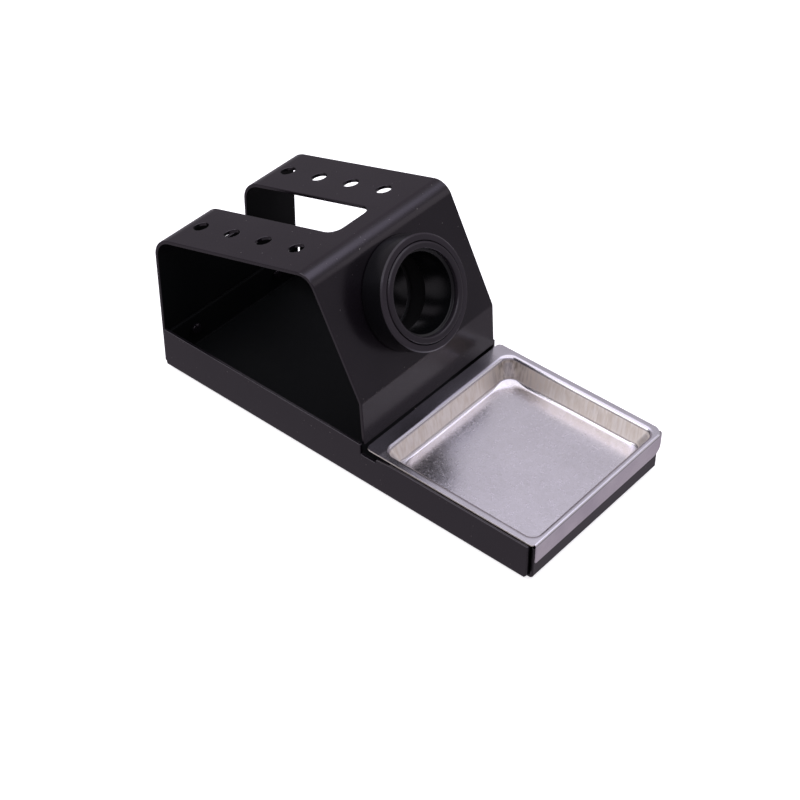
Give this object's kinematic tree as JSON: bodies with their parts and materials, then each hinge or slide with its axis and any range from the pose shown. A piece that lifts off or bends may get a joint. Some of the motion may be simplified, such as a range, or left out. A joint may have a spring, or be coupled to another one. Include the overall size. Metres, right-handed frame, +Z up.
{
  "type": "soldering iron stand",
  "caption": "Folded sheet-metal stand: sloping front panel with a round collar for a hot iron, slotted top with tip holes, shallow base channel and a lift-out drip tray.",
  "frame": {"origin": "on the table, under the middle of the stand", "axes": "+X across the stand, +Y from the tray towards the rear wall, +Z up; the tray end faces -Y"},
  "size_m": [0.0843, 0.1951, 0.0891],
  "materials": {
    "powder_coated_steel": "fine satin black powder coat",
    "black_anodised_aluminium": "turned and anodised black",
    "black_resin": "glossy black heat-resistant resin",
    "bright_tray_steel": "drawn bright tinned sheet, mottled floor",
    "black_rubber": "matt"
  },
  "bodies": {
    "stand": {"base": "powder_coated_steel", "shell": "powder_coated_steel", "holder_ring": "black_anodised_aluminium", "holder_sleeve": "black_resin", "holder_nut": "black_anodised_aluminium", "foot_front_left": "black_rubber", "foot_front_right": "black_rubber", "foot_rear_left": "black_rubber", "foot_rear_right": "black_rubber", "rear_rivet_left": "powder_coated_steel", "rear_rivet_right": "powder_coated_steel"},
    "tray": {"tray": "bright_tray_steel"}
  },
  "joints": [
    {"name": "tray_lift", "type": "slide", "parent": "stand", "child": "tray", "axis": [0, 0, 1], "range_m": [0, 0.02]}
  ]
}
